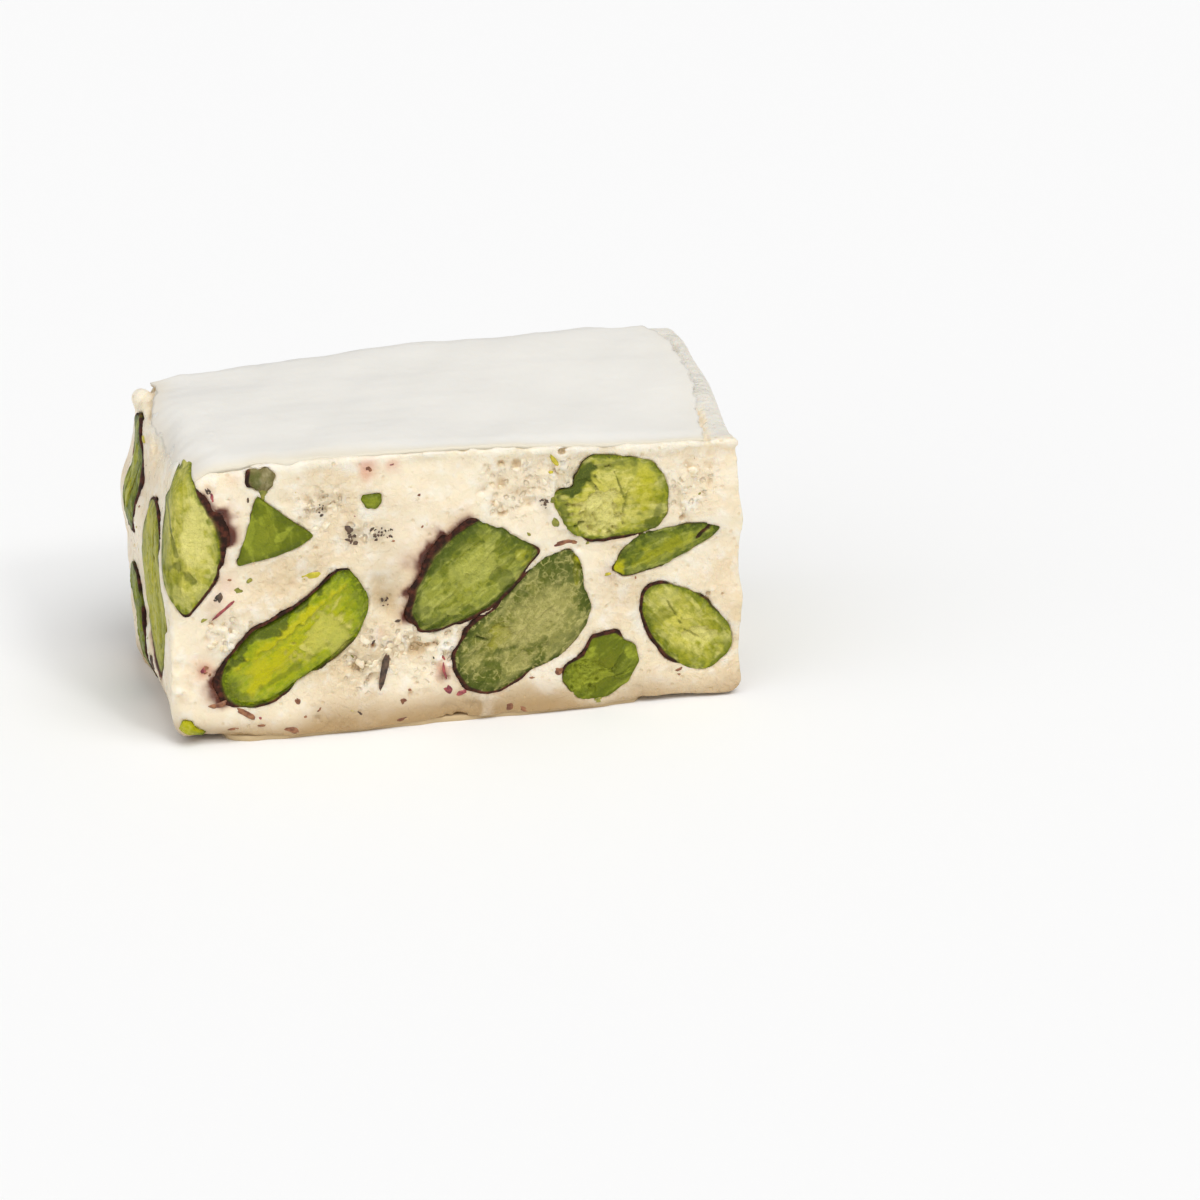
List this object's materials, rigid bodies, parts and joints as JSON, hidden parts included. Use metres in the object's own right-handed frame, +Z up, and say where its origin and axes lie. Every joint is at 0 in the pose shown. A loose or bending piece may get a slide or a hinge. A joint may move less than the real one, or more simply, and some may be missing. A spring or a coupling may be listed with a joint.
{
  "type": "nougat bar",
  "caption": "Hand-cut block of white nougat with sliced pistachio kernels in its cut faces, between an upper and a lower sheet of wafer paper.",
  "frame": {"origin": "centre of the bounding box at its bottom, on the underside of the lower wafer sheet", "axes": "+X along the bar's length towards its right end, +Y from the cut front towards the back, +Z up"},
  "size_m": [0.0564, 0.03, 0.0283],
  "materials": {
    "nougat": "soft satin, warm cream",
    "pistachio": "cut kernel, oily satin, green",
    "wafer_paper": "dry matte white"
  },
  "bodies": {
    "root": {"nougat": "nougat", "nut_front_corner": "pistachio", "nut_front_wedge": "pistachio", "nut_front_long": "pistachio", "nut_front_middle": "pistachio", "nut_front_large": "pistachio", "nut_front_top": "pistachio", "nut_front_sliver": "pistachio", "nut_front_low": "pistachio", "nut_front_right": "pistachio", "nut_left_tall": "pistachio", "nut_left_low": "pistachio", "nut_left_high": "pistachio", "nut_right_front": "pistachio", "nut_right_middle": "pistachio", "nut_right_low": "pistachio", "nut_right_back": "pistachio", "nut_right_end": "pistachio", "nut_back_1": "pistachio", "nut_back_2": "pistachio", "nut_back_3": "pistachio", "nut_back_4": "pistachio", "nut_back_5": "pistachio", "nut_back_6": "pistachio", "nut_back_7": "pistachio", "nut_back_8": "pistachio", "nut_back_9": "pistachio", "chip_front": "pistachio", "chip_top_edge": "pistachio", "chip_corner": "pistachio", "wafer_top": "wafer_paper", "wafer_bottom": "wafer_paper"}
  },
  "joints": []
}
